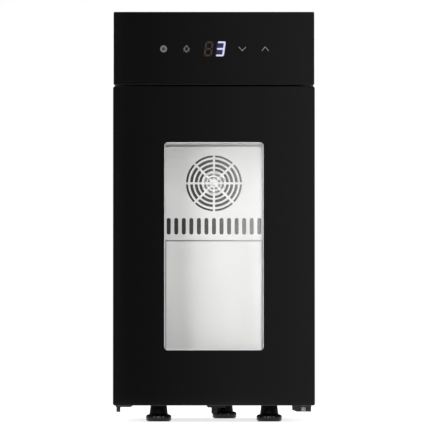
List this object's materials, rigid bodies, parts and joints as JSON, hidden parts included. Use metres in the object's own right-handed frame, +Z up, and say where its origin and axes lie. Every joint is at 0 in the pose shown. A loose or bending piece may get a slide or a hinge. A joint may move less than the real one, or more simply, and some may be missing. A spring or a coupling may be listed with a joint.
{
  "type": "slim countertop cooling cabinet",
  "caption": "Slim black countertop cooling cabinet with a hinged glass door, a touch control head, a stainless fan-cooled chamber and levelling feet.",
  "frame": {"origin": "on the supporting surface, under the centre of the cabinet's overall box", "axes": "+X to the right as the user faces the door, -Y out of the door glass, +Z up"},
  "size_m": [0.226, 0.4414, 0.4594],
  "materials": {
    "cabinet_paint": "satin",
    "stainless": "satin",
    "foam": "matte",
    "black_plastic": "satin",
    "foot_plastic": "satin",
    "aluminium": "satin",
    "ceramic": "satin",
    "seal_rubber": "matte",
    "black_glass": "gloss",
    "clear_glass": "gloss",
    "circuit_board": "satin",
    "white_plastic": "satin",
    "bracket_grey": "satin",
    "zinc_steel": "satin"
  },
  "bodies": {
    "cabinet": {"outer_wrap": "cabinet_paint", "base_plate": "cabinet_paint", "rear_cover": "cabinet_paint", "front_frame": "cabinet_paint", "chamber_liner": "stainless", "fan_cover": "stainless", "duct_panel": "stainless", "insulation_foam": "foam", "circulation_fan_frame": "black_plastic", "exhaust_fan_frame": "black_plastic", "exhaust_fan_guard": "black_plastic", "power_inlet": "black_plastic", "digit_display": "black_plastic", "head_housing": "black_plastic", "cold_sink": "aluminium", "conduction_block": "aluminium", "hot_sink": "aluminium", "power_supply": "aluminium", "thermoelectric_module": "ceramic", "module_seal": "seal_rubber", "control_glass": "black_glass", "touch_board": "circuit_board", "control_board": "circuit_board", "lamp_board": "circuit_board", "lamp_lens": "white_plastic", "lower_hinge_bracket": "bracket_grey", "upper_hinge_bracket": "bracket_grey", "left_door_bracket": "bracket_grey", "rear_foot_bracket": "bracket_grey", "lower_hinge_pin": "zinc_steel", "upper_hinge_pin": "zinc_steel", "rear_cover_screw_1": "zinc_steel", "fan_guard_screw_1": "zinc_steel", "rear_cover_screw_2": "zinc_steel", "fan_guard_screw_2": "zinc_steel", "rear_cover_screw_3": "zinc_steel", "fan_guard_screw_3": "zinc_steel", "rear_cover_screw_4": "zinc_steel", "fan_guard_screw_4": "zinc_steel", "front_left_foot_nut": "zinc_steel", "front_right_foot_nut": "zinc_steel", "rear_foot_nut": "zinc_steel"},
    "door": {"door_outer_glass": "black_glass", "glass_spacer": "aluminium", "door_inner_glass": "clear_glass", "door_frame": "black_plastic", "door_insulation": "foam", "door_gasket": "seal_rubber", "upper_hinge_bush": "white_plastic", "lower_hinge_bush": "white_plastic"},
    "circulation_rotor": {"circulation_fan_rotor": "black_plastic"},
    "exhaust_rotor": {"exhaust_fan_rotor": "black_plastic"},
    "front_left_levelling_foot": {"front_left_foot": "foot_plastic", "front_left_foot_stud": "zinc_steel"},
    "front_right_levelling_foot": {"front_right_foot": "foot_plastic", "front_right_foot_stud": "zinc_steel"},
    "rear_levelling_foot": {"rear_foot": "foot_plastic", "rear_foot_stud": "zinc_steel"}
  },
  "joints": [
    {"name": "door_hinge", "type": "hinge", "parent": "cabinet", "child": "door", "pos_m": [0.1004, -0.1967, 0.197], "axis": [0, 0, 1], "range_deg": [0, 110]},
    {"name": "circulation_fan_spin", "type": "hinge", "parent": "cabinet", "child": "circulation_rotor", "pos_m": [0, 0.0873, 0.277], "axis": [0, 1, 0], "continuous": true},
    {"name": "exhaust_fan_spin", "type": "hinge", "parent": "cabinet", "child": "exhaust_rotor", "pos_m": [0, 0.2033, 0.277], "axis": [0, 1, 0], "continuous": true},
    {"name": "front_left_foot_height", "type": "slide", "parent": "cabinet", "child": "front_left_levelling_foot", "axis": [0, 0, -1], "range_m": [0, 0.01]},
    {"name": "front_right_foot_height", "type": "slide", "parent": "cabinet", "child": "front_right_levelling_foot", "axis": [0, 0, -1], "range_m": [0, 0.01]},
    {"name": "rear_foot_height", "type": "slide", "parent": "cabinet", "child": "rear_levelling_foot", "axis": [0, 0, -1], "range_m": [0, 0.01]}
  ]
}
